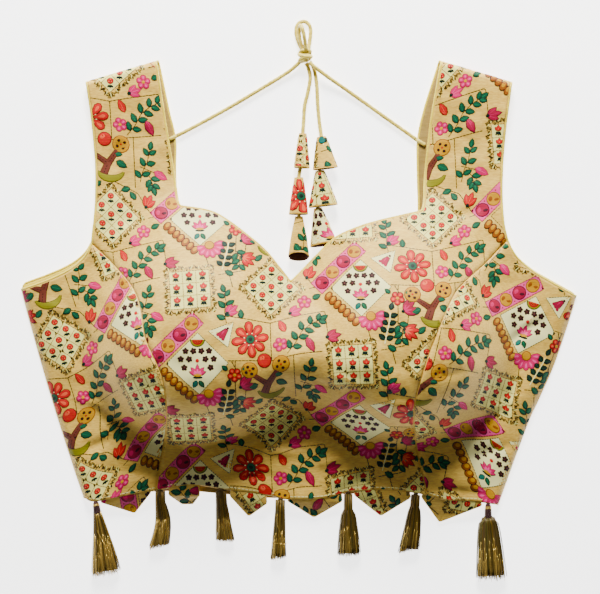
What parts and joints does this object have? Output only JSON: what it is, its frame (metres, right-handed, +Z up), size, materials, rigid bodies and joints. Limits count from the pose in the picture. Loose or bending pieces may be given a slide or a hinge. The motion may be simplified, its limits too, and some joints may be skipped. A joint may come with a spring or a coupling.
{
  "type": "choli blouse laid flat",
  "caption": "Cropped sleeveless choli blouse laid flat, with padded cups, sweetheart neck, piped edges, tasselled hem and a knotted back tie.",
  "frame": {"origin": "centre of the garment's outline without its tie, on the surface that its back lies on", "axes": "+X across the garment to the wearer's left, +Y along it from the hem to the shoulders, +Z up out of the front"},
  "size_m": [0.4726, 0.477, 0.0633],
  "materials": {
    "printed_silk": "printed art silk with a soft sheen",
    "piping_satin": "cream satin piping",
    "tie_satin": "cream satin tube",
    "gold_thread": "dull antique gold thread",
    "hook_metal": "flat sewn-in hooks"
  },
  "bodies": {
    "root": {"front_centre": "printed_silk", "front_strap_left": "printed_silk", "front_strap_right": "printed_silk", "front_side_left": "printed_silk", "front_side_right": "printed_silk", "back_left": "printed_silk", "back_right": "printed_silk", "back_strap_left": "printed_silk", "back_strap_right": "printed_silk", "hem_triangle_1": "printed_silk", "hem_triangle_2": "printed_silk", "hem_triangle_3": "printed_silk", "hem_triangle_4": "printed_silk", "hem_triangle_5": "printed_silk", "hem_triangle_6": "printed_silk", "latkan_left_1": "printed_silk", "latkan_left_2": "printed_silk", "latkan_left_3": "printed_silk", "latkan_right_1": "printed_silk", "latkan_right_2": "printed_silk", "latkan_right_3": "printed_silk", "neck_piping_front": "piping_satin", "neck_piping_back_left": "piping_satin", "neck_piping_back_right": "piping_satin", "armhole_piping_front_left": "piping_satin", "armhole_piping_front_right": "piping_satin", "armhole_piping_back_left": "piping_satin", "armhole_piping_back_right": "piping_satin", "dori_run_left": "tie_satin", "dori_run_right": "tie_satin", "dori_loop_outer": "tie_satin", "dori_loop_inner": "tie_satin", "dori_tail_left": "tie_satin", "dori_tail_right": "tie_satin", "dori_knot": "tie_satin", "hem_tassel_1": "gold_thread", "hem_tassel_2": "gold_thread", "hem_tassel_3": "gold_thread", "hem_tassel_4": "gold_thread", "hem_tassel_5": "gold_thread", "hem_tassel_6": "gold_thread", "hem_tassel_7": "gold_thread", "back_hook_1": "hook_metal", "back_hook_2": "hook_metal", "back_hook_3": "hook_metal", "back_hook_4": "hook_metal"}
  },
  "joints": []
}
